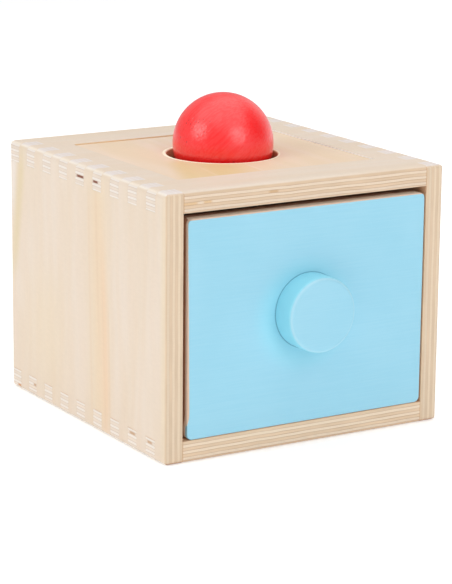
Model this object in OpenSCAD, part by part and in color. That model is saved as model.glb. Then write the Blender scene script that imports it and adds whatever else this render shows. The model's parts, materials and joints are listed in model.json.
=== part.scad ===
// Object permanence box: a plywood box with finger-jointed corners, a lift-out lid with a round
// hole, a loose wooden ball that drops through the hole, and a painted drawer that catches it.
// Millimetres. The origin is on the floor under the middle of the box: +X is right as the drawer
// is faced, +Y runs to the back and +Z is up.

/* [Box] */
// Outside width, left to right
box_w = 140; // [125:1:180]
// Outside depth, front edge to back edge
box_d = 142; // [125:1:180]
// Outside height, floor to top
box_h = 116; // [100:1:150]
// Thickness of the plywood of the sides and the top
board_t = 9; // [7:0.5:11]
// Thickness of the plywood of the bottom
bottom_t = 9.5; // [7:0.5:11]
// Thickness of the back panel
back_t = 9; // [4:0.5:12]
// Rounding of the four long edges, where the sides meet the top and bottom
edge_r = 3; // [1:0.25:4]
// Easing of the front and back edges
arris_r = 2; // [0.5:0.25:3]

/* [Finger joints] */
// Width of one finger; what is left over widens the rearmost tab
finger_w = 7.8; // [6:0.1:11]

/* [Lid] */
// Width of the recess that the lid drops into
recess_w = 100; // [80:1:104]
// Depth of that recess, front to back
recess_d = 94; // [80:1:104]
// Corner radius of the recess
recess_corner_r = 1; // [0.5:0.25:2]
// Thickness of the lid
lid_t = 5; // [3:0.25:6]
// How far the lid's face lies below the top of the box
lid_drop = 0.5; // [0.2:0.1:1.5]
// Gap all round the lid
lid_gap = 0.2; // [0.1:0.05:1]
// Corner radius of the lid
lid_corner_r = 2.5; // [1.5:0.25:5]
// Width of the ledge that carries the lid
ledge_w = 6; // [4:0.5:10]
// Corner radius of the opening inside the ledge
opening_corner_r = 4; // [2:0.5:8]
// Diameter of the hole that the ball drops through
hole_dia = 49.5; // [47:0.5:58]
// Round-over of the hole's two rims
rim_r = 0.9; // [0.4:0.1:1.5]

/* [Ball] */
// Diameter of the ball
ball_dia = 45; // [42:0.5:48]
// Height of the ball's centre above the top of the box
ball_rise = 4; // [0:0.1:15]
// How far to the right of the hole's centre the ball stands
ball_side = 0.5; // [0:0.1:0.9]

/* [Drawer front] */
// Thickness of the drawer front
front_t = 9; // [8:0.5:12]
// How far the drawer front stands behind the front edges of the box
setback = 0.3; // [0:0.1:4]
// Gap at each end of the drawer front when it is centred
side_gap = 1.5; // [1:0.1:3]
// How far to the right of centre the drawer sits within that gap
drawer_play = 0.9; // [0:0.1:0.9]
// Gap above the drawer front
top_gap = 2.8; // [1.5:0.1:6]
// Running clearance under the drawer
run_gap = 0.1; // [0.1:0.05:0.6]
// Clearance between the drawer and the back panel
rear_gap = 0.3; // [0.2:0.1:1.5]
// Corner radius of the drawer front
front_corner_r = 2.5; // [1:0.25:6]

/* [Drawer box] */
// Thickness of the drawer's sides and back
tray_t = 6; // [5:0.5:8]
// How far the sides and back end below the top of the drawer front
tray_drop = 25; // [15:1:40]
// Depth of the grooves in the drawer front that hold the sides
housing_d = 4; // [2:0.25:5]
// Thickness of the drawer's floor
floor_t = 3; // [2.5:0.25:4]
// Height of the floor's underside above the drawer's lower edge
floor_lift = 5; // [3:0.25:8]
// Depth of the grooves that hold the floor
groove_d = 3; // [2:0.25:3.5]
// Play of the floor in its grooves
groove_play = 0.3; // [0.1:0.05:0.5]

/* [Knob] */
// Diameter of the knob
knob_dia = 33; // [25:0.5:45]
// How far the knob stands out from the drawer front
knob_l = 12; // [10:0.5:20]
// Round-over of the knob's outer edge
knob_edge_r = 2; // [0.5:0.25:4]
// Height of the knob above the middle of the drawer front
knob_rise = 2; // [-10:0.5:10]
// Diameter of the screw that holds the knob
screw_dia = 4; // [3:0.25:5]
// Diameter of the screw's countersunk head
screw_head_dia = 8; // [7:0.25:10]
// Length of screw in the knob
screw_grip = 8; // [5:0.25:9]
// Radial clearance round the screw
screw_gap = 0.05; // [0.02:0.01:0.2]

/* [Hidden] */
// What a cut runs past the face that it opens
overrun = 1;
// Free depth past the screw's point
pilot_spare = 0.5;
// Width and depth of the cross recess in the screw's head
cross_w = 1;
cross_d = 1.2;
$fn = 96;

inner_w = box_w - 2 * board_t;
inner_h = box_h - board_t - bottom_t;
top_z = box_h - board_t;
front_y = -box_d / 2;
back_y = box_d / 2;

lid_z = box_h - lid_drop - lid_t;
hole_r = hole_dia / 2;

drawer_w = inner_w - 2 * side_gap;
drawer_z = bottom_t + run_gap;
front_h = inner_h - run_gap - top_gap;
face_y = front_y + setback;
front_back_y = face_y + front_t;
tray_back_y = back_y - back_t - rear_gap;
tray_h = front_h - tray_drop;
tray_inner_w = drawer_w - 2 * tray_t;
floor_z = drawer_z + floor_lift;
knob_z = drawer_z + front_h / 2 + knob_rise;
screw_head_h = (screw_head_dia - screw_dia) / 2;

plywood = "#EBD8BE";
veneer = "#EED3B5";
sky_blue = "#A4DDF1";
signal_red = "#F5393B";
steel = "#B9BCC0";

// Low and high end of each tab along an edge that starts at start. A finger comes first, tabs and
// fingers alternate, and the last tab takes what is left; past lengthens it for a cut.
function tab_spans(start, length, past = 0) =
    let (pairs = floor(length / (2 * finger_w)))
    [for (k = [0 : pairs - 1])
        [start + (2 * k + 1) * finger_w,
         k < pairs - 1 ? start + (2 * k + 2) * finger_w : start + length + past]];

// Rectangle with round corners, centred
module rounded_rect(width, height, radius) {
    square([width - 2 * radius, height], center = true);
    square([width, height - 2 * radius], center = true);
    for (x = [-1, 1], y = [-1, 1])
        translate([x * (width / 2 - radius), y * (height / 2 - radius)])
            circle(radius);
}

// Outer form of the box, with its long edges rounded and its front and back edges eased
module envelope() {
    intersection() {
        translate([0, back_y, box_h / 2])
            rotate([90, 0, 0])
                linear_extrude(box_d)
                    rounded_rect(box_w, box_h, edge_r);
        translate([-box_w / 2, 0, box_h / 2])
            rotate([90, 0, 90])
                linear_extrude(box_w)
                    rounded_rect(box_d, box_h, arris_r);
        linear_extrude(box_h)
            rounded_rect(box_w, box_d, arris_r);
    }
}

// Bars across the box that make the tabs of the top and bottom, or, grown by past, their slots
module carcass_tabs(low_z, high_z, past = 0) {
    for (span = tab_spans(front_y, box_d, past))
        translate([-box_w / 2 - past, span[0], low_z])
            cube([box_w + 2 * past, span[1] - span[0], high_z - low_z]);
}

module side_blank() {
    intersection() {
        envelope();
        difference() {
            translate([-box_w / 2, front_y, 0])
                cube([board_t, box_d, box_h]);
            carcass_tabs(top_z, box_h + overrun, overrun);
            carcass_tabs(-overrun, bottom_t, overrun);
        }
    }
}

module level_blank(low_z, high_z) {
    intersection() {
        envelope();
        union() {
            translate([-inner_w / 2, front_y, low_z])
                cube([inner_w, box_d, high_z - low_z]);
            carcass_tabs(low_z, high_z);
        }
    }
}

module left_side() {
    color(plywood) side_blank();
}

module right_side() {
    color(plywood) mirror([1, 0, 0]) side_blank();
}

module bottom_board() {
    color(plywood) level_blank(0, bottom_t);
}

// The top has a stepped opening, whose ledge carries the lid
module top_frame() {
    color(plywood)
        difference() {
            level_blank(top_z, box_h);
            translate([0, 0, lid_z])
                linear_extrude(box_h - lid_z + overrun)
                    rounded_rect(recess_w, recess_d, recess_corner_r);
            translate([0, 0, top_z - overrun])
                linear_extrude(board_t)
                    rounded_rect(recess_w - 2 * ledge_w, recess_d - 2 * ledge_w, opening_corner_r);
        }
}

module back_panel() {
    color(plywood)
        translate([-inner_w / 2, back_y - back_t, bottom_t])
            cube([inner_w, back_t, inner_h]);
}

// Section, from the axis outwards, of a hole with both rims rounded over
module hole_section(radius, depth, rim) {
    translate([0, -overrun])
        square([radius, depth + 2 * overrun]);
    for (end = [0, 1])
        translate([0, end * depth])
            mirror([0, end])
                difference() {
                    translate([0, -overrun])
                        square([radius + rim, rim + overrun]);
                    translate([radius + rim, rim])
                        circle(rim);
                }
}

module lid() {
    color(veneer)
        translate([0, 0, lid_z])
            difference() {
                linear_extrude(lid_t)
                    rounded_rect(recess_w - 2 * lid_gap, recess_d - 2 * lid_gap, lid_corner_r);
                rotate_extrude()
                    hole_section(hole_r, lid_t, rim_r);
            }
}

module ball() {
    color(signal_red)
        translate([ball_side, 0, box_h + ball_rise])
            sphere(d = ball_dia);
}

// Line of the knob's screw, from the drawer front's face towards the back
module on_knob_axis() {
    translate([drawer_play, face_y, knob_z])
        rotate([-90, 0, 0])
            children();
}

// The screw's own form, or, with a gap, the hole that it needs
module screw_form(gap, spare) {
    translate([0, 0, -screw_grip - spare])
        cylinder(r = screw_dia / 2 + gap, h = screw_grip + front_t + spare);
    translate([0, 0, front_t - screw_head_h])
        cylinder(r1 = screw_dia / 2 + gap, r2 = screw_head_dia / 2 + gap, h = screw_head_h);
}

// One side of the drawer as a full board, and the tabs of the drawer's back, in the same place
module tray_side_board(side) {
    translate([drawer_play + side * (drawer_w - tray_t) / 2 - tray_t / 2,
               front_back_y - housing_d, drawer_z])
        cube([tray_t, tray_back_y - front_back_y + housing_d, tray_h]);
}

module tray_tabs(past = 0) {
    for (span = tab_spans(drawer_z, tray_h, past))
        translate([drawer_play - drawer_w / 2 - past, tray_back_y - tray_t, span[0]])
            cube([drawer_w + 2 * past, tray_t + past, span[1] - span[0]]);
}

// Space of the drawer's floor: the panel itself, or, with play, the grooves that take it
module floor_space(play) {
    width = tray_inner_w + 2 * groove_d - 2 * (groove_play - play);
    length = tray_back_y - tray_t - front_back_y + 2 * groove_d - 2 * (groove_play - play);
    middle_y = (tray_back_y - tray_t + front_back_y) / 2;
    translate([drawer_play - width / 2, middle_y - length / 2, floor_z])
        cube([width, length, floor_t + play]);
}

module drawer_front() {
    color(sky_blue)
        difference() {
            translate([drawer_play, front_back_y, drawer_z + front_h / 2])
                rotate([90, 0, 0])
                    linear_extrude(front_t)
                        rounded_rect(drawer_w, front_h, front_corner_r);
            for (side = [-1, 1])
                tray_side_board(side);
            floor_space(groove_play);
            on_knob_axis()
                screw_form(screw_gap, overrun);
        }
}

module drawer_side(side) {
    color(plywood)
        difference() {
            tray_side_board(side);
            tray_tabs(overrun);
            floor_space(groove_play);
        }
}

module drawer_left_side() {
    drawer_side(-1);
}

module drawer_right_side() {
    drawer_side(1);
}

module drawer_back() {
    color(plywood)
        difference() {
            union() {
                translate([drawer_play - tray_inner_w / 2, tray_back_y - tray_t, drawer_z])
                    cube([tray_inner_w, tray_t, tray_h]);
                tray_tabs();
            }
            floor_space(groove_play);
        }
}

module drawer_floor() {
    color(plywood) floor_space(0);
}

// Section of the knob, from the axis outwards; its back is at zero
module knob_section() {
    radius = knob_dia / 2;
    square([radius - knob_edge_r, knob_l]);
    square([radius, knob_l - knob_edge_r]);
    translate([radius - knob_edge_r, knob_l - knob_edge_r])
        circle(knob_edge_r);
}

module knob() {
    color(sky_blue)
        on_knob_axis()
            difference() {
                mirror([0, 0, 1])
                    rotate_extrude()
                        knob_section();
                screw_form(screw_gap, pilot_spare);
            }
}

module knob_screw() {
    color(steel)
        on_knob_axis()
            difference() {
                screw_form(0, 0);
                for (turn = [0, 90])
                    rotate(turn)
                        translate([-screw_dia / 2, -cross_w / 2, front_t - cross_d])
                            cube([screw_dia, cross_w, cross_d + overrun]);
            }
}

left_side();
right_side();
top_frame();
bottom_board();
back_panel();
lid();
ball();
drawer_front();
drawer_left_side();
drawer_right_side();
drawer_back();
drawer_floor();
knob();
knob_screw();
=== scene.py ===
"""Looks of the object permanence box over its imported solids: plywood, a blue drawer and a red ball."""

import json
import math
import random
from collections import namedtuple

import bmesh
import bpy
from mathutils import Matrix, Vector, noise


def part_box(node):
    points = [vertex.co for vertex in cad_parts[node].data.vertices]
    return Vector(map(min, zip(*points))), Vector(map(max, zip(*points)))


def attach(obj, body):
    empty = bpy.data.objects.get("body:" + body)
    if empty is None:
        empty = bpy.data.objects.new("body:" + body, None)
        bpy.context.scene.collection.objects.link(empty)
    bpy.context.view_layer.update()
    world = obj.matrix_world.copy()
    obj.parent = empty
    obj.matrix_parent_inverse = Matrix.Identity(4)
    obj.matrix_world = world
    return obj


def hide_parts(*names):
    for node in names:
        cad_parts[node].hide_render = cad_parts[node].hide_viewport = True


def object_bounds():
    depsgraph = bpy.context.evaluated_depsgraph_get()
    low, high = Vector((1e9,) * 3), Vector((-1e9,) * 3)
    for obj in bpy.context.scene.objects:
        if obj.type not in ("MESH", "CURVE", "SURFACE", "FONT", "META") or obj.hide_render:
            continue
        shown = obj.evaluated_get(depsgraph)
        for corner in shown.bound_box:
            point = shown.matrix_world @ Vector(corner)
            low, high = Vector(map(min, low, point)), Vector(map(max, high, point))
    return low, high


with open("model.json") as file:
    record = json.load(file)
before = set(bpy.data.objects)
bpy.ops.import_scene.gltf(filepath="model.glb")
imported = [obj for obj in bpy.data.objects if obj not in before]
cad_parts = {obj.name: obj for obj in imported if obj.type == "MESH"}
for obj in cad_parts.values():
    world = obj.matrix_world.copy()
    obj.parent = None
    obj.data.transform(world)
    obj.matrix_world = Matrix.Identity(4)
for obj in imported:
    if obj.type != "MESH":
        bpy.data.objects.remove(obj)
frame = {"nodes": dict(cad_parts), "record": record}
CAD_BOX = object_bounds()

MM = 0.001
X, Y, Z = 0, 1, 2
BODY_OF = {node: body for body, nodes in frame["record"]["behaviour"]["bodies"].items() for node in nodes}


# Colours

STUDIO_GAIN = 1.12


def seen(red, green, blue):
    """A colour as it looks in the white studio, 0 to 255, turned into the colour of the surface itself."""
    def linear(channel):
        share = channel / 255
        return share / 12.92 if share <= 0.04045 else ((share + 0.055) / 1.055) ** 2.4
    return tuple(linear(channel) / STUDIO_GAIN for channel in (red, green, blue)) + (1.0,)


BIRCH_PALE = seen(238, 222, 205)
BIRCH_MID = seen(236, 218, 197)
BIRCH_WARM = seen(235, 208, 177)
BIRCH_HEART = seen(243, 208, 172)
BIRCH_YELLOW = seen(238, 219, 189)
BIRCH_SAP = seen(242, 231, 220)
WANE = seen(228, 209, 164)
TRAY_PALE = seen(243, 220, 190)
TRAY_MID = seen(238, 211, 177)
TRAY_WARM = seen(228, 194, 152)
LID_PALE = seen(245, 223, 201)
LID_MID = seen(242, 218, 191)
LID_WARM = seen(232, 206, 150)
LID_EDGE = seen(254, 247, 236)
HOLE_RIM = (0.98, 0.97, 0.74, 1.0)
HOLE_CORE = (0.76, 0.66, 0.34, 1.0)
LONG_EDGE = seen(235, 218, 199)
END_GRAIN = seen(245, 236, 227)
BOTTOM_LONG_EDGE = seen(241, 224, 204)
BOTTOM_END_GRAIN = seen(250, 241, 231)
SIDE_LONG_EDGE = seen(236, 224, 213)
SIDE_END_GRAIN = seen(246, 239, 234)
FRONT_TINT = (0.95, 0.84, 0.71, 1.0)
SIDE_FRONT_TINT = (0.92, 0.785, 0.61, 1.0)
GLUE_LINE = seen(186, 144, 114)
RESIN = seen(238, 213, 180)
TAB_PALE = seen(243, 231, 219)
TAB_LILAC = seen(237, 226, 220)
# painted highlight: the cream on the rounded edges between the sides and the top
ROUNDED_EDGE_HIGHLIGHT = seen(253, 244, 229)
# painted light: the pale tones laid on the walls of the lid's recess
RECESS_WALL_LIGHT = (0.97, 0.96, 0.92, 1.0)
RECESS_WALL_LIGHT_WARM = (0.90, 0.76, 0.54, 1.0)
# painted shade: the warm tone of the faces that look into the box
INNER_SHADE_WARM = seen(242, 196, 154)
# painted light: the drawer front's bare edges, paler than other edges so that they read lit near the face
RAW_EDGE_LIT = seen(255, 236, 218)
WORN_EDGE = seen(255, 204, 150)
RUBBED_EDGE = seen(230, 194, 168)
# painted shade: the brown of the drawer front's bare edges deep in the gaps round it
GAP_SHADE_BROWN = seen(180, 120, 84)
# painted shade: the brown along the foot of the box, where it meets the floor
FOOT_SHADE_BROWN = seen(178, 128, 92)
CORE_GAP = seen(138, 78, 54)
CORE_BROWN = seen(212, 176, 142)
CORE_TAN = seen(222, 194, 164)
CORE_AMBER = seen(226, 158, 100)
SKY_BLUE = seen(163, 220, 241)
SKY_BLUE_GRAIN = seen(157, 217, 239)
# painted shade: the deeper cyan the blue paint takes round the knob and on its side
SKY_BLUE_SHADE = seen(158, 232, 250)
# painted highlight: the pale blue on the knob's rim
SKY_BLUE_HIGHLIGHT = seen(192, 234, 248)
# painted shade: the dark blue where the knob meets the front
SKY_BLUE_CREASE_SHADE = seen(70, 140, 170)
LACQUER_RED = (1.0, 0.022, 0.024, 1.0)
LACQUER_RED_DEEP = (1.0, 0.001, 0.003, 1.0)
PORE_RED = seen(150, 4, 8)
ZINC = seen(206, 208, 212)
ZINC_DULL = seen(176, 178, 182)
FLOOR_WHITE = (0.96, 0.96, 0.96, 1.0)
FLOOR_PALE = (0.94, 0.94, 0.94, 1.0)
WHITE = (1.0, 1.0, 1.0, 1.0)


# Sizes of the meshes, in metres

WELD = 0.001 * MM
FLAT_ANGLE = math.radians(0.5)
SHARP_ANGLE = math.radians(40)
SHORTEST_EASED = 0.2 * MM
ARRIS = 0.15 * MM
FACE_ARRIS = 0.4 * MM
BALL_SWELL = 0.03 * MM
BALL_SWELLS_PER_RADIUS = 2.5
PORE_R = 0.5 * MM
PORE_DEPTH = 0.18 * MM
FLOOR_R = 8.0


# Relief of the finishes, in metres

GRAIN_RELIEF = 0.12 * MM
PAINT_RELIEF = 0.06 * MM
KNOB_RELIEF = 0.05 * MM
LACQUER_RELIEF = 0.14 * MM


# How plies lie, in plies, and how far a pattern shifts from ply to ply

PLY_HAIR = 0.001
PLY_WAVE = 0.55
PLY_SHIFT = 37.7


# Sizes in the finishes, in millimetres

GLUE_HALF = 0.5
FOOT_SHADE_HALF = 1.6
RECESS_HALF = 1.2
HOLE_RIM_R = 0.9
SANDED_MIDDLE = (-0.8, -0.6)
SANDED_FULL = 0.1
SANDED_END = 0.9
HOLE_WALL_FULL = 0.05
HOLE_WALL_END = 0.27
KNOB_SHADE_ASIDE = 2.0
KNOB_SHADE_BELOW = 1.5
KNOB_SHADE_REACH = 11.0
CREASE_HALF = 0.6
SPILL_FULL = 4.0
SPILL_END = 11.0
SPILL_DEPTH = 1.4
RAGGED_DEPTH = 0.25
PAINT_FULL = 0.16
PAINT_END = 0.28
WORN_FULL = 0.3
WORN_END = 0.7
WORN_DEPTH = 0.2
RUBBED_WIDTH = 1.1
RUBBED_FADE = 0.25
TOP_HEM_FULL = 0.5
TOP_HEM_END = 0.75
GAP_SHADE_START = 3.7
GAP_SHADE_FULL = 5.6


# Camera and light

LONG_SIDE_PX = 584
FOCAL_PX = 2418.2
SENSOR = 36.0
YAW = math.radians(-31.317)
PITCH = math.radians(13.797)
ROLL = math.radians(0.541)
DISTANCE = 1092.4 * MM
AIM = Vector((2.72, -0.08, 51.33)) * MM

# A softbox stands in a direction from the box, at a distance and of a size in metres, with a power in watts.
Softbox = namedtuple("Softbox", "name direction distance size power")
SOFTBOXES = (
    Softbox("overhead_softbox", (0.0, 0.0, 1.0), 2.5, 4.0, 51.0),
    Softbox("left_softbox", (-0.86, 0.10, 0.50), 1.6, 0.75, 6.2),
    Softbox("front_softbox", (0.10, -0.86, 0.46), 1.8, 1.0, 8.5),
    Softbox("right_softbox", (0.85, 0.35, 0.25), 1.6, 1.4, 2.4),
)
FLOOR_GLOW = 0.22
SURROUND_GLOW = 0.44
FLAG_GLOW = 0.12
FLAG_WAY = Vector((0.80, -0.28, 0.48)).normalized()
FLAG_EDGE_COSINE = 0.82
FLAG_FULL_COSINE = 0.95


# Node materials

class Finish:
    """A node material being laid out, in millimetres: each call adds nodes and gives back their output."""

    def __init__(self, name):
        self.material = bpy.data.materials.new(name)
        self.material.use_nodes = True
        self.tree = self.material.node_tree
        self.shader = self.tree.nodes["Principled BSDF"]
        place = self.add("ShaderNodeTexCoord", output="Object")
        self.place = self.vector("SCALE", place, Scale=1 / MM)
        self.axis = self.split(self.place)

    def add(self, kind, inputs=None, output=0, **settings):
        node = self.tree.nodes.new(kind)
        for key, value in settings.items():
            setattr(node, key, value)
        for key, value in (inputs or {}).items():
            self.feed(node.inputs[key], value)
        return node.outputs[output]

    def feed(self, socket, value):
        if isinstance(value, bpy.types.NodeSocket):
            self.tree.links.new(value, socket)
        else:
            socket.default_value = value

    def vector(self, operation, *values, output=0, **inputs):
        return self.add(
            "ShaderNodeVectorMath", {**dict(enumerate(values)), **inputs}, output=output, operation=operation
        )

    def split(self, vector):
        parts = self.add("ShaderNodeSeparateXYZ", {0: vector}).node
        return [parts.outputs[axis] for axis in (X, Y, Z)]

    def join(self, *parts):
        return self.add("ShaderNodeCombineXYZ", dict(enumerate(parts)))

    def math(self, operation, *values):
        return self.add("ShaderNodeMath", dict(enumerate(values)), operation=operation)

    def plus(self, first, second):
        return self.math("ADD", first, second)

    def minus(self, first, second):
        return self.math("SUBTRACT", first, second)

    def times(self, first, *others):
        for other in others:
            first = self.math("MULTIPLY", first, other)
        return first

    def times_plus(self, first, factor, added):
        return self.math("MULTIPLY_ADD", first, factor, added)

    def larger(self, first, second):
        return self.math("MAXIMUM", first, second)

    def away(self, value, middle):
        return self.math("ABSOLUTE", self.minus(value, middle))

    def span(self, value, low, high, start=0.0, end=1.0, kind="SMOOTHSTEP", clamp=True):
        """value from low to high becomes start to end, and stays there outside unless it isn't clamped."""
        return self.add(
            "ShaderNodeMapRange",
            {"Value": value, "From Min": low, "From Max": high, "To Min": start, "To Max": end},
            interpolation_type=kind, clamp=clamp,
        )

    def band(self, value, middle, half):
        """1 at middle, falling smoothly to 0 at half the width away."""
        return self.span(self.away(value, middle), 0.0, half, 1.0, 0.0)

    def between(self, share, first, second):
        return self.add("ShaderNodeMix", {0: share, 2: first, 3: second}, data_type="FLOAT")

    def mix(self, share, first, second, blend="MIX"):
        return self.add(
            "ShaderNodeMix", {0: share, 6: first, 7: second}, output=2, data_type="RGBA", blend_type=blend
        )

    def shade(self, color, brightness):
        return self.mix(1.0, color, self.join(brightness, brightness, brightness), blend="MULTIPLY")

    def noise(self, vector, scale=1.0, detail=2.0, roughness=0.5):
        return self.add(
            "ShaderNodeTexNoise",
            {"Vector": vector, "Scale": scale, "Detail": detail, "Roughness": roughness},
        )

    def radius(self, first, second, middle):
        """Distance from a line along the third axis, which passes through middle."""
        across = self.join(self.minus(self.axis[first], middle[0]), self.minus(self.axis[second], middle[1]))
        return self.vector("LENGTH", across, output="Value")

    def facing(self):
        """How squarely the surface faces along each axis, 0 to 1."""
        normal = self.add("ShaderNodeNewGeometry", output="Normal")
        return [self.math("ABSOLUTE", part) for part in self.split(normal)]

    def bump(self, height, distance):
        return self.add("ShaderNodeBump", {"Height": height, "Distance": distance, "Strength": 1.0})

    def surface(self, color, roughness, normal=None, specular=0.4, metallic=0.0):
        self.feed(self.shader.inputs["Base Color"], color)
        self.feed(self.shader.inputs["Roughness"], roughness)
        self.shader.inputs["Specular IOR Level"].default_value = specular
        self.shader.inputs["Metallic"].default_value = metallic
        if normal:
            self.feed(self.shader.inputs["Normal"], normal)
        return self.material


# Plywood

# A streak runs along the face grain from one (run, side) place to another.
Streak = namedtuple("Streak", "start stop half tone strength fade")

# A flaw sits in one ply of an edge, and a mark is a line over an edge that faces along an axis.
Flaw = namedtuple("Flaw", "axis place half ply tone")
Mark = namedtuple("Mark", "axis place half facing tone")

# The tones of a board's faces, and those of its edges, which are tinted where they face the front.
Face = namedtuple("Face", "pale mid warm")
Edges = namedtuple("Edges", "long end front_tint")
BIRCH_FACE = Face(BIRCH_PALE, BIRCH_MID, BIRCH_WARM)
TRAY_FACE = Face(TRAY_PALE, TRAY_MID, TRAY_WARM)
LID_FACE = Face(LID_PALE, LID_MID, LID_WARM)
BIRCH_EDGES = Edges(LONG_EDGE, END_GRAIN, FRONT_TINT)
SIDE_EDGES = Edges(SIDE_LONG_EDGE, SIDE_END_GRAIN, SIDE_FRONT_TINT)
BOTTOM_EDGES = Edges(BOTTOM_LONG_EDGE, BOTTOM_END_GRAIN, FRONT_TINT)
LID_EDGES = Edges(LID_EDGE, LID_EDGE, FRONT_TINT)

# thick and along are the axes of a board's thickness and face grain. inner and joint say which side,
# 0 low or 1 high, looks into the box and meets the ends of slots. sink lowers the plies by so many
# millimetres, and glue is how strongly the glue lines show.
Board = namedtuple(
    "Board", "node thick along plies face edges streaks flaws marks inner joint sink glue",
    defaults=(7, BIRCH_FACE, BIRCH_EDGES, (), (), (), None, None, 0.0, 1.0),
)


class PlyFinish(Finish):
    """The finish of a plywood board: grain on its faces, crossed plies with glue lines on its edges."""

    def __init__(self, name, board):
        super().__init__(name)
        self.board = board
        self.faces = self.facing()
        self.lay_plies()
        self.fibre = self.noise(self.grain(0.05, 2.6), detail=3.0, roughness=0.6)

    def lay_plies(self):
        """Sorts the wood into plies, counted from the low side, and finds the way of the grain in each."""
        board = self.board
        low, high = (corner[board.thick] / MM - board.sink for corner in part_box(board.node))
        across = ({X, Y, Z} - {board.thick, board.along}).pop()
        self.level = self.span(
            self.axis[board.thick], low, high, PLY_HAIR, board.plies - PLY_HAIR, kind="LINEAR"
        )
        self.sunk = self.times(
            self.span(self.level, 0.0, 1.0), self.span(self.level, board.plies, board.plies - 1.0)
        )
        wavy = self.minus(self.noise(self.place, scale=0.07), 0.5)
        depth = self.times_plus(self.times(wavy, PLY_WAVE), self.sunk, self.level)
        self.layer = self.math("FLOOR", depth)
        self.seam = self.math("PINGPONG", depth, 0.5)
        crossed = self.math("MODULO", self.layer, 2.0)
        self.run = self.between(crossed, self.axis[board.along], self.axis[across])
        self.side = self.between(crossed, self.axis[across], self.axis[board.along])
        self.end = self.span(self.between(crossed, self.faces[board.along], self.faces[across]), 0.35, 0.75)
        self.shift = self.times(self.layer, PLY_SHIFT)

    def grain(self, stretch, spread):
        """A place in the pattern of a ply, drawn out along its grain."""
        return self.join(self.times(self.run, stretch), self.times(self.side, spread), self.shift)

    def along_ply(self, stretch, row):
        """A place in a pattern that changes only along the grain."""
        return self.join(self.times(self.run, stretch), row, self.shift)

    def square_on(self, axis, share=1.0):
        return self.span(self.faces[axis], 0.5, 0.8, 0.0, share)

    def near_side(self, which, full, end, share=1.0):
        """Where the wood is close to the board's low or high side, measured in plies."""
        return self.span(self.away(self.level, which * self.board.plies), end, full, 0.0, share)

    def face_grain(self):
        tones = self.board.face
        wander = self.noise(self.grain(0.006, 0.025))
        cloud = self.noise(self.grain(0.012, 0.05), detail=3.0)
        ripple = self.noise(self.grain(0.75, 0.28), detail=2.0)
        face = self.mix(self.span(cloud, 0.32, 0.68), tones.pale, tones.mid)
        rings = self.math("SINE", self.times_plus(wander, 34.0, self.times(self.side, 0.5)))
        face = self.mix(self.span(rings, -1.0, 1.0, 0.0, 0.13), face, tones.warm)
        bent = self.times_plus(self.minus(wander, 0.5), 5.0, self.side)
        for streak in self.board.streaks:
            face = self.streaked(face, bent, streak)
        face = self.shade(face, self.span(ripple, 0.3, 0.7, 0.985, 1.01, kind="LINEAR"))
        # painted shade: the face that looks into the box is tinted warm, the colour that shade takes inside
        # it
        if self.board.inner is not None:
            face = self.mix(self.near_side(self.board.inner, 0.1, 0.3, 0.85), face, INNER_SHADE_WARM)
        return face

    def streaked(self, face, side, streak):
        (run_0, side_0), (run_1, side_1) = streak.start, streak.stop
        centre = self.span(self.run, run_0, run_1, side_0, side_1, kind="LINEAR", clamp=False)
        begun = self.span(self.run, run_0 - streak.fade, run_0 + streak.fade)
        over = self.span(self.run, run_1 - streak.fade, run_1 + streak.fade, streak.strength, 0.0)
        return self.mix(self.times(self.band(side, centre, streak.half), begun, over), face, streak.tone)

    def glued_plies(self):
        """The plies of an edge, by turns along and across the grain, with broken glue lines between them."""
        core = self.mix(self.end, self.board.edges.long, self.board.edges.end)
        patchy = self.noise(self.along_ply(0.035, 0.0), detail=3.0, roughness=0.6)
        core = self.shade(core, self.span(patchy, 0.3, 0.7, 0.90, 1.06, kind="LINEAR"))
        broken = self.span(self.noise(self.grain(0.06, 0.0), detail=2.0), 0.35, 0.65, 0.2, 0.85)
        glued = self.span(self.seam, 0.04, 0.12, self.board.glue, 0.0)
        return self.mix(self.times(glued, broken, self.sunk), core, GLUE_LINE)

    def tab_ends(self, core):
        """The sanded ends of tabs: paler at the sides, lilac on top, brown along their slots."""
        core = self.mix(self.square_on(X, 0.33), core, TAB_PALE)
        blotch = self.span(self.noise(self.place, scale=0.16, detail=3.0), 0.38, 0.58, 0.5, 0.9)
        core = self.mix(self.times(self.square_on(Z), blotch), core, TAB_LILAC)
        if self.board.joint is not None:
            slot_end = self.near_side(self.board.joint, 0.12, 0.3)
            core = self.mix(self.times(slot_end, blotch, self.square_on(X)), core, CORE_BROWN)
        return core

    def core_gaps(self, core):
        """The edge with stray gaps and its own flaws in the inner plies, and how open it is there."""
        plies = self.board.plies
        inside = self.times(
            self.span(self.seam, 0.06, 0.16),
            self.span(self.layer, 0.4, 0.6),
            self.span(self.layer, plies - 1.6, plies - 1.4, 1.0, 0.0),
        )
        hollow = self.noise(self.along_ply(0.09, 5.0), detail=1.0)
        gap = self.times(self.span(hollow, 0.80, 0.82), inside)
        core = self.mix(gap, core, CORE_BROWN)
        for flaw in self.board.flaws:
            ragged = self.times_plus(self.fibre, 1.2, self.away(self.axis[flaw.axis], flaw.place))
            there = self.span(ragged, flaw.half * 0.7, flaw.half * 1.2 + 0.5, 1.0, 0.0)
            share = self.times(there, self.math("COMPARE", self.layer, float(flaw.ply), 0.1), inside)
            gap = self.larger(gap, share)
            core = self.mix(share, core, flaw.tone)
        return core, gap

    def marked(self, core):
        for mark in self.board.marks:
            share = self.band(self.axis[mark.axis], mark.place, mark.half)
            core = self.mix(self.times(share, self.span(self.faces[mark.facing], 0.3, 0.6)), core, mark.tone)
        return core

    def wood(self):
        """Colour, roughness and relief of the bare board."""
        core, gap = self.core_gaps(self.tab_ends(self.glued_plies()))
        core = self.marked(core)
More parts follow.
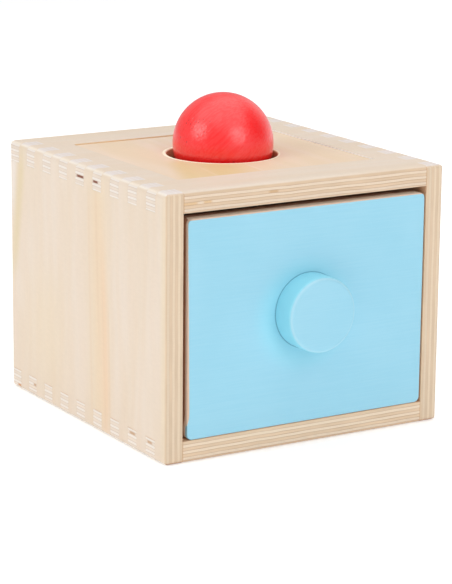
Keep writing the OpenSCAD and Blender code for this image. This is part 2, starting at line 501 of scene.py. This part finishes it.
        # painted highlight: a cream line on the rounding between faces that look sideways and faces that
        # look up
        turned = self.times(self.band(self.faces[X], 0.6, 0.35), self.band(self.faces[Z], 0.75, 0.35), 0.55)
        core = self.mix(turned, core, ROUNDED_EDGE_HIGHLIGHT)
        core = self.mix(self.square_on(Y), core, self.board.edges.front_tint, blend="MULTIPLY")
        face = self.mix(turned, self.face_grain(), ROUNDED_EDGE_HIGHLIGHT)
        edge = self.span(self.faces[self.board.thick], 0.85, 0.5)
        color = self.mix(edge, face, core)
        color = self.shade(color, self.span(self.fibre, 0.25, 0.75, 0.965, 1.025, kind="LINEAR"))
        roughness = self.span(self.fibre, 0.3, 0.7, 0.50, 0.62)
        relief = self.times_plus(gap, -1.0, self.times(self.fibre, 0.35))
        return color, roughness, relief


def plywood(board):
    finish = PlyFinish(board.node + "_plywood", board)
    color, roughness, relief = finish.wood()
    return finish.surface(color, roughness, finish.bump(relief, GRAIN_RELIEF))


def holed_plywood(board):
    """Plywood with a round hole: its rounded rim is sanded pale, its wall shows the olive core."""
    finish = PlyFinish(board.node + "_plywood", board)
    color, roughness, relief = finish.wood()
    hole_r = min(vert.co.xy.length for vert in frame["nodes"][board.node].data.vertices) / MM
    rim_end = hole_r + HOLE_RIM_R
    sanded = finish.span(finish.radius(X, Y, SANDED_MIDDLE), rim_end + SANDED_END, rim_end + SANDED_FULL)
    color = finish.mix(sanded, color, HOLE_RIM)
    wall = finish.span(finish.radius(X, Y, (0.0, 0.0)), hole_r + HOLE_WALL_END, hole_r + HOLE_WALL_FULL)
    color = finish.mix(wall, color, HOLE_CORE)
    return finish.surface(color, roughness, finish.bump(relief, GRAIN_RELIEF))


# Paint, lacquer and zinc

def paint_film(finish, along):
    """Colour, roughness and relief of satin paint through which the wood's grain faintly shows."""
    stretch = [2.2, 2.2, 2.2]
    stretch[along] = 0.05
    fibre = finish.noise(finish.vector("MULTIPLY", finish.place, stretch), detail=3.0, roughness=0.6)
    broad = finish.noise(finish.place, scale=0.03)
    tone = finish.times_plus(fibre, 0.5, finish.times(broad, 0.5))
    color = finish.mix(finish.span(tone, 0.35, 0.65), SKY_BLUE, SKY_BLUE_GRAIN)
    peel = finish.noise(finish.place, scale=0.9, detail=1.0)
    roughness = finish.span(fibre, 0.3, 0.7, 0.40, 0.50)
    relief = finish.times_plus(fibre, 0.6, finish.times(peel, 0.4))
    return color, roughness, relief


def knob_shaded_paint(finish, paint, knob):
    """Paint with painted shade round the knob: a deeper cyan below and beside it, where its shadow falls,
    and a dark ring where it meets the front.
    """
    low, high = (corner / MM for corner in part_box(knob))
    middle = (low + high) / 2
    knob_r = (high.x - low.x) / 2
    # painted shade: the knob's shadow, centred a little below and to the left of it
    knob_shade = finish.radius(X, Z, (middle.x - KNOB_SHADE_ASIDE, middle.z - KNOB_SHADE_BELOW))
    paint = finish.mix(finish.span(knob_shade, knob_r, knob_r + KNOB_SHADE_REACH, 0.6, 0.0), paint, SKY_BLUE_SHADE)
    # painted shade: a dark ring round the foot of the knob
    crease = finish.band(finish.radius(X, Z, (middle.x, middle.z)), knob_r, CREASE_HALF)
    return finish.mix(finish.times(crease, 0.7), paint, SKY_BLUE_CREASE_SHADE)


def painted_front(board, knob):
    """Plywood with its face painted: the paint ends raggedly on the eased edge and is rubbed at the rim, and
    the bare edges carry painted light near the face and painted shade deep in the gaps.
    """
    finish = PlyFinish("painted_drawer_front", board)
    wood, wood_rough, wood_relief = finish.wood()
    paint, paint_rough, paint_relief = paint_film(finish, X)
    paint = knob_shaded_paint(finish, paint, knob)

    low, high = (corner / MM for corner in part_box(board.node))
    ragged = finish.times(finish.noise(finish.place, scale=0.30, detail=3.0), RAGGED_DEPTH)
    spilt = finish.span(finish.radius(X, Z, (low.x, low.z)), SPILL_FULL, SPILL_END, SPILL_DEPTH, 0.0)
    behind = finish.minus(finish.minus(finish.axis[Y], low.y), spilt)
    worn = finish.span(finish.axis[Z], low.z + WORN_END, low.z + WORN_FULL, 0.0, WORN_DEPTH)
    bare = finish.span(finish.plus(finish.minus(behind, ragged), worn), PAINT_FULL, PAINT_END)

    inward = finish.plus(finish.plus(finish.minus(finish.axis[X], low.x), ragged), spilt)
    rubbed = finish.span(finish.axis[Z], low.z, high.z, RUBBED_WIDTH, 0.0, kind="LINEAR")
    downward = finish.plus(finish.minus(high.z, finish.axis[Z]), ragged)
    left_hem = finish.span(finish.minus(inward, rubbed), RUBBED_FADE, 0.0)
    hem = finish.larger(left_hem, finish.span(downward, TOP_HEM_END, TOP_HEM_FULL))
    bare = finish.larger(bare, hem)

    # painted light and shade: the bare edges are pale near the face and turn brown deeper behind it, sooner
    # on the sides, standing in for the shade in the gaps round the drawer
    gap_shade_depth = finish.times(behind, finish.span(finish.faces[X], 0.3, 0.7, 1.0, 2.4))
    sawn_and_gap_shade = finish.mix(finish.span(gap_shade_depth, GAP_SHADE_START, GAP_SHADE_FULL), RAW_EDGE_LIT, GAP_SHADE_BROWN)
    wood = finish.mix(finish.span(finish.faces[Y], 0.5, 0.3, 0.0, 0.85), wood, sawn_and_gap_shade)
    wood = finish.mix(finish.span(worn, 0.0, WORN_DEPTH / 2), wood, WORN_EDGE)
    wood = finish.mix(finish.times(hem, finish.span(finish.faces[Y], 0.3, 0.6)), wood, RUBBED_EDGE)
    return finish.surface(
        finish.mix(bare, paint, wood),
        finish.between(bare, paint_rough, wood_rough),
        finish.bump(finish.between(bare, paint_relief, wood_relief), PAINT_RELIEF),
        specular=0.45,
    )


def painted_knob():
    """The same paint on a turned knob, with painted shade in a deeper cyan round its side and a painted
    highlight on its rim.
    """
    finish = Finish("painted_knob")
    paint, roughness, relief = paint_film(finish, X)
    front = finish.facing()[Y]
    # painted shade: where the knob's side turns away from the front it takes the deeper cyan
    paint = finish.mix(finish.span(front, 0.75, 0.25), paint, SKY_BLUE_SHADE)
    # painted highlight: a paler band on the knob's rounded rim
    paint = finish.mix(finish.times(finish.band(front, 0.72, 0.26), 0.5), paint, SKY_BLUE_HIGHLIGHT)
    return finish.surface(paint, roughness, finish.bump(relief, KNOB_RELIEF), specular=0.5)


BALL_GRAIN = (0.712, -0.244, 0.659)
PORE = "pore"


def red_lacquer(node):
    """Bright red lacquer on a turned ball: its grain shows as faint slanting lines, its pores as dots."""
    finish = Finish("red_lacquer")
    low, high = (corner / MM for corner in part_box(node))
    centred = finish.vector("SUBTRACT", finish.place, (low + high) / 2)
    run = finish.vector("DOT_PRODUCT", centred, BALL_GRAIN, output="Value")
    drawn = finish.vector("SCALE", BALL_GRAIN, Scale=finish.times(run, 0.96))
    across = finish.vector("SUBTRACT", centred, drawn)
    fibre = finish.noise(across, scale=1.1, detail=2.0, roughness=0.6)
    broad = finish.noise(across, scale=0.06)
    lump = finish.noise(centred, scale=0.9, detail=2.0)
    tone = finish.times_plus(fibre, 0.85, finish.times(broad, 0.15))
    color = finish.mix(finish.span(tone, 0.4, 0.6), LACQUER_RED, LACQUER_RED_DEEP)
    pore = finish.add("ShaderNodeAttribute", output="Fac", attribute_name=PORE)
    color = finish.mix(finish.times(pore, 0.9), color, PORE_RED)
    roughness = finish.span(fibre, 0.3, 0.7, 0.28, 0.38)
    relief = finish.bump(finish.times_plus(lump, 0.3, fibre), LACQUER_RELIEF)
    finish.shader.inputs["Coat Weight"].default_value = 0.4
    finish.shader.inputs["Coat Roughness"].default_value = 0.27
    finish.feed(finish.shader.inputs["Coat Normal"], relief)
    return finish.surface(color, roughness, relief, specular=0.75)


def zinc_plate():
    finish = Finish("zinc_plate")
    brushed = finish.noise(finish.place, scale=3.0, detail=3.0)
    color = finish.mix(brushed, ZINC, ZINC_DULL)
    return finish.surface(color, finish.span(brushed, 0.3, 0.7, 0.28, 0.4), specular=0.5, metallic=1.0)


# Meshes

def merged_solid(node):
    """A solid's mesh with its loose triangles joined and its flat faces made whole."""
    shape = bmesh.new()
    shape.from_mesh(frame["nodes"][node].data)
    bmesh.ops.remove_doubles(shape, verts=shape.verts, dist=WELD)
    bmesh.ops.dissolve_limit(shape, angle_limit=FLAT_ANGLE, verts=shape.verts, edges=shape.edges)
    return shape


def sharp_edges(shape):
    return [
        edge for edge in shape.edges
        if edge.is_manifold and edge.calc_face_angle() > SHARP_ANGLE and edge.calc_length() > SHORTEST_EASED
    ]


def ease(shape, edges, width, segments=2):
    bmesh.ops.bevel(
        shape, geom=edges, offset=width, offset_type="OFFSET", affect="EDGES",
        segments=segments, profile=0.5, material=-1, clamp_overlap=False,
    )


def piece(shape, node, name, material):
    """The shape as a finished piece that stands for a solid."""
    mesh = bpy.data.meshes.new(name)
    shape.to_mesh(mesh)
    shape.free()
    mesh.shade_smooth()
    mesh.set_sharp_from_angle(angle=SHARP_ANGLE)
    mesh.materials.append(material)
    made = bpy.data.objects.new(name, mesh)
    bpy.context.scene.collection.objects.link(made)
    made.modifiers.new("even_faces", "WEIGHTED_NORMAL").keep_sharp = True
    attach(made, BODY_OF[node])
    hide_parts(node)
    return made


def eased_solid(node, name, material):
    shape = merged_solid(node)
    ease(shape, sharp_edges(shape), ARRIS)
    return piece(shape, node, name, material)


def drawer_face(node, name, material):
    """The drawer front, with the outline of its face rounded over more than its other edges."""
    low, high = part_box(node)

    def on_outline(edge):
        """Whether an edge lies on the face and out at its rim, not at the hole for the screw."""
        place = edge.verts[0].co
        at_rim = abs(place.x) > high.x / 2 or abs(place.z - high.z / 2) > high.z / 3
        return at_rim and all(abs(vert.co.y - low.y) < WELD for vert in edge.verts)

    def behind_face(edge):
        return any(vert.co.y > low.y + FACE_ARRIS * 2 for vert in edge.verts)

    shape = merged_solid(node)
    ease(shape, [edge for edge in sharp_edges(shape) if on_outline(edge)], FACE_ARRIS, segments=5)
    ease(shape, [edge for edge in sharp_edges(shape) if behind_face(edge)], ARRIS)
    return piece(shape, node, name, material)


# Ways from the ball's middle to the open pores that show on its left side
PORES = [
    (-0.88, -0.06, 0.47), (-0.84, -0.09, 0.53), (-0.86, -0.19, 0.47), (-0.80, -0.18, 0.58),
    (-0.80, -0.28, 0.53), (-0.78, -0.35, 0.52), (-0.74, -0.34, 0.58), (-0.70, -0.42, 0.58),
    (-0.88, -0.27, 0.40), (-0.85, -0.39, 0.37), (-0.77, -0.48, 0.43), (-0.76, -0.55, 0.35),
    (-0.85, -0.45, 0.29), (-0.98, -0.01, 0.19), (-0.97, -0.22, 0.13), (-0.63, -0.54, 0.56),
]
STRAY_PORES = 8
STRAY_SEED = 7


def turned_ball(node, name, material):
    """A ball with the slight unevenness of turned wood and a few open pores."""
    low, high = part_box(node)
    middle = (low + high) / 2
    radius = (high.x - low.x) / 2
    chance = random.Random(STRAY_SEED)
    pores = [Vector(place) for place in PORES]
    pores += [Vector(chance.gauss(0, 1) for axis in (X, Y, Z)).normalized() for stray in range(STRAY_PORES)]
    shape = bmesh.new()
    bmesh.ops.create_icosphere(shape, subdivisions=7, radius=radius, matrix=Matrix.Translation(middle))
    mark = shape.verts.layers.float.new(PORE)
    for vert in shape.verts:
        outward = (vert.co - middle).normalized()
        nearest = min((outward - pore).length for pore in pores) * radius
        vert[mark] = max(0.0, 1.0 - nearest / PORE_R)
        swell = (noise.noise(outward * BALL_SWELLS_PER_RADIUS) - 1.0) * BALL_SWELL
        vert.co = middle + outward * (radius + swell - vert[mark] * PORE_DEPTH)
    return piece(shape, node, name, material)


# The box, its lid and its ball

inner_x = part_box("left_side")[1].x / MM
lid_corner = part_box("lid")[1] / MM

glue_lines = (Mark(X, inner_x, GLUE_HALF, Y, CORE_BROWN), Mark(X, -inner_x, GLUE_HALF, Y, CORE_BROWN))
# painted shade: brown lines along the foot of the front and side edges, where the box meets the floor
front_foot_shade = Mark(Z, 0.0, FOOT_SHADE_HALF, Y, FOOT_SHADE_BROWN)
side_foot_shade = Mark(Z, 0.0, FOOT_SHADE_HALF, X, FOOT_SHADE_BROWN)
# painted light: the walls of the lid's recess are painted lighter, standing in for the light that falls on
# them
recess_right_light = Mark(X, lid_corner.x, RECESS_HALF, X, RECESS_WALL_LIGHT)
recess_back_light = Mark(Y, lid_corner.y, RECESS_HALF, Y, RECESS_WALL_LIGHT_WARM)

left_side = Board(
    "left_side", X, Z, edges=SIDE_EDGES, marks=(front_foot_shade,), inner=1, glue=0.3,
    streaks=(
        Streak((4, -13.5), (112, -13.5), 13, BIRCH_YELLOW, 0.7, 10),
        Streak((0, -17.5), (108, -12.5), 11, BIRCH_HEART, 0.3, 14),
        Streak((2, -20.5), (78, -17.5), 5.0, BIRCH_HEART, 0.55, 22),
        Streak((0, -19.5), (74, -16.5), 1.0, BIRCH_WARM, 0.5, 18),
        Streak((40, -14.0), (110, -11.0), 1.8, BIRCH_WARM, 0.55, 16),
        Streak((0, -23.5), (56, -22.0), 1.4, BIRCH_WARM, 0.5, 14),
        Streak((6, -7.0), (106, -5.0), 1.6, BIRCH_WARM, 0.35, 10),
        Streak((8, 36), (60, 36), 30, BIRCH_YELLOW, 0.5, 20),
        Streak((0, -71), (116, -71), 4.5, BIRCH_YELLOW, 0.7, 20),
        Streak((84, 69), (116, 66), 6, BIRCH_SAP, 0.8, 8),
        Streak((56, 67.5), (112, 58.5), 6.0, WANE, 0.6, 12),
    ),
)
right_side = Board("right_side", X, Z, edges=SIDE_EDGES, marks=(front_foot_shade,), inner=0, glue=0.3)
top_frame = Board(
    "top_frame", Z, X, marks=glue_lines + (recess_right_light, recess_back_light), inner=0, joint=0, sink=0.6,
    flaws=(
        Flaw(Y, 2.3, 3.6, 3, CORE_GAP), Flaw(Y, -11.5, 2.6, 3, CORE_GAP), Flaw(X, -58.0, 4.2, 3, RESIN),
        Flaw(X, -49.5, 2.4, 3, RESIN), Flaw(X, -17.6, 2.8, 4, CORE_TAN),
    ),
)
bottom_board = Board(
    "bottom_board", Z, X, edges=BOTTOM_EDGES, marks=glue_lines + (front_foot_shade, side_foot_shade), inner=1, joint=1,
    flaws=(
        Flaw(Y, 63.5, 1.8, 1, CORE_AMBER), Flaw(Y, 47.6, 1.8, 4, CORE_BROWN),
        Flaw(Y, -44.1, 2.8, 5, CORE_BROWN), Flaw(Y, -59.0, 2.4, 5, CORE_BROWN),
    ),
)
lid = Board(
    "lid", Z, Y, plies=5, face=LID_FACE, edges=LID_EDGES,
    streaks=(
        Streak((-54, -29), (-14, -14), 28, LID_WARM, 0.9, 9),
        Streak((-54, -44), (-8, -28), 9, LID_WARM, 0.7, 6),
        Streak((-50, -30), (-26, -27), 1.2, LID_PALE, 0.3, 4),
        Streak((-46, -6), (-30, -5), 1.2, LID_PALE, 0.8, 4),
    ),
)
for board in (left_side, right_side, top_frame, bottom_board):
    eased_solid(board.node, board.node + "_board", plywood(board))
eased_solid("lid", "lid_board", holed_plywood(lid))
eased_solid("back_panel", "back_board", plywood(Board("back_panel", Y, X)))
turned_ball("ball", "turned_ball", red_lacquer("ball"))


# The drawer

drawer_face("drawer_front", "drawer_face", painted_front(Board("drawer_front", Y, X), "knob"))
eased_solid("knob", "turned_knob", painted_knob())
eased_solid("knob_screw", "knob_screw_head", zinc_plate())
for board in (
    Board("drawer_left_side", X, Y, plies=5, face=TRAY_FACE),
    Board("drawer_right_side", X, Y, plies=5, face=TRAY_FACE),
    Board("drawer_back", Y, X, plies=5, face=TRAY_FACE),
    Board("drawer_floor", Z, X, plies=3, face=TRAY_FACE),
):
    eased_solid(board.node, board.node + "_board", plywood(board))


# The studio

def photo_camera():
    """The camera at the photograph's viewpoint."""
    backward = Vector((
        math.sin(YAW) * math.cos(PITCH), -math.cos(YAW) * math.cos(PITCH), math.sin(PITCH)
    ))
    level = (-backward).cross(Vector((0, 0, 1))).normalized()
    upright = level.cross(-backward)
    right = level * math.cos(ROLL) + upright * math.sin(ROLL)
    up = upright * math.cos(ROLL) - level * math.sin(ROLL)
    turn = Matrix((right, up, backward)).transposed().to_4x4()
    camera = bpy.data.objects.new("camera", bpy.data.cameras.new("camera"))
    camera.data.lens = FOCAL_PX / LONG_SIDE_PX * SENSOR
    camera.data.sensor_width = SENSOR
    camera.matrix_world = Matrix.Translation(AIM + backward * DISTANCE) @ turn
    bpy.context.scene.collection.objects.link(camera)
    bpy.context.scene.camera = camera


def pale_floor():
    """A wide white floor that glows a little, so that it fades into the surround."""
    finish = Finish("pale_floor")
    soft = finish.noise(finish.place, scale=0.002)
    finish.shader.inputs["Emission Color"].default_value = WHITE
    finish.shader.inputs["Emission Strength"].default_value = FLOOR_GLOW
    shape = bmesh.new()
    bmesh.ops.create_circle(shape, cap_ends=True, segments=96, radius=FLOOR_R)
    mesh = bpy.data.meshes.new("floor")
    shape.to_mesh(mesh)
    shape.free()
    mesh.materials.append(finish.surface(finish.mix(soft, FLOOR_WHITE, FLOOR_PALE), 0.9, specular=0.1))
    floor = bpy.data.objects.new("floor", mesh)
    bpy.context.scene.collection.objects.link(floor)


def hung_softbox(softbox):
    """A square lamp that looks at the middle of the box from its direction."""
    lamp = bpy.data.lights.new(softbox.name, "AREA")
    lamp.shape = "SQUARE"
    lamp.size = softbox.size
    lamp.energy = softbox.power
    middle = (CAD_BOX[0] + CAD_BOX[1]) / 2
    away = Vector(softbox.direction).normalized()
    turn = away.to_track_quat("Z", "Y").to_matrix().to_4x4()
    made = bpy.data.objects.new(softbox.name, lamp)
    made.matrix_world = Matrix.Translation(middle + away * softbox.distance) @ turn
    bpy.context.scene.collection.objects.link(made)


def white_surround():
    """A white surround with one darker place at the right, where a flag keeps the light off."""
    world = bpy.data.worlds.new("white_studio")
    world.use_nodes = True
    tree = world.node_tree
    glow = tree.nodes["Background"]
    glow.inputs["Color"].default_value = WHITE
    outward = tree.nodes.new("ShaderNodeTexCoord")
    toward_flag = tree.nodes.new("ShaderNodeVectorMath")
    toward_flag.operation = "DOT_PRODUCT"
    toward_flag.inputs[1].default_value = FLAG_WAY
    shaded = tree.nodes.new("ShaderNodeMapRange")
    shaded.interpolation_type = "SMOOTHSTEP"
    shaded.inputs["From Min"].default_value = FLAG_EDGE_COSINE
    shaded.inputs["From Max"].default_value = FLAG_FULL_COSINE
    shaded.inputs["To Min"].default_value = SURROUND_GLOW
    shaded.inputs["To Max"].default_value = FLAG_GLOW
    tree.links.new(outward.outputs["Generated"], toward_flag.inputs[0])
    tree.links.new(toward_flag.outputs["Value"], shaded.inputs["Value"])
    tree.links.new(shaded.outputs["Result"], glow.inputs["Strength"])
    bpy.context.scene.world = world


photo_camera()
pale_floor()
for softbox in SOFTBOXES:
    hung_softbox(softbox)
white_surround()
bpy.context.scene.view_settings.view_transform = "Standard"
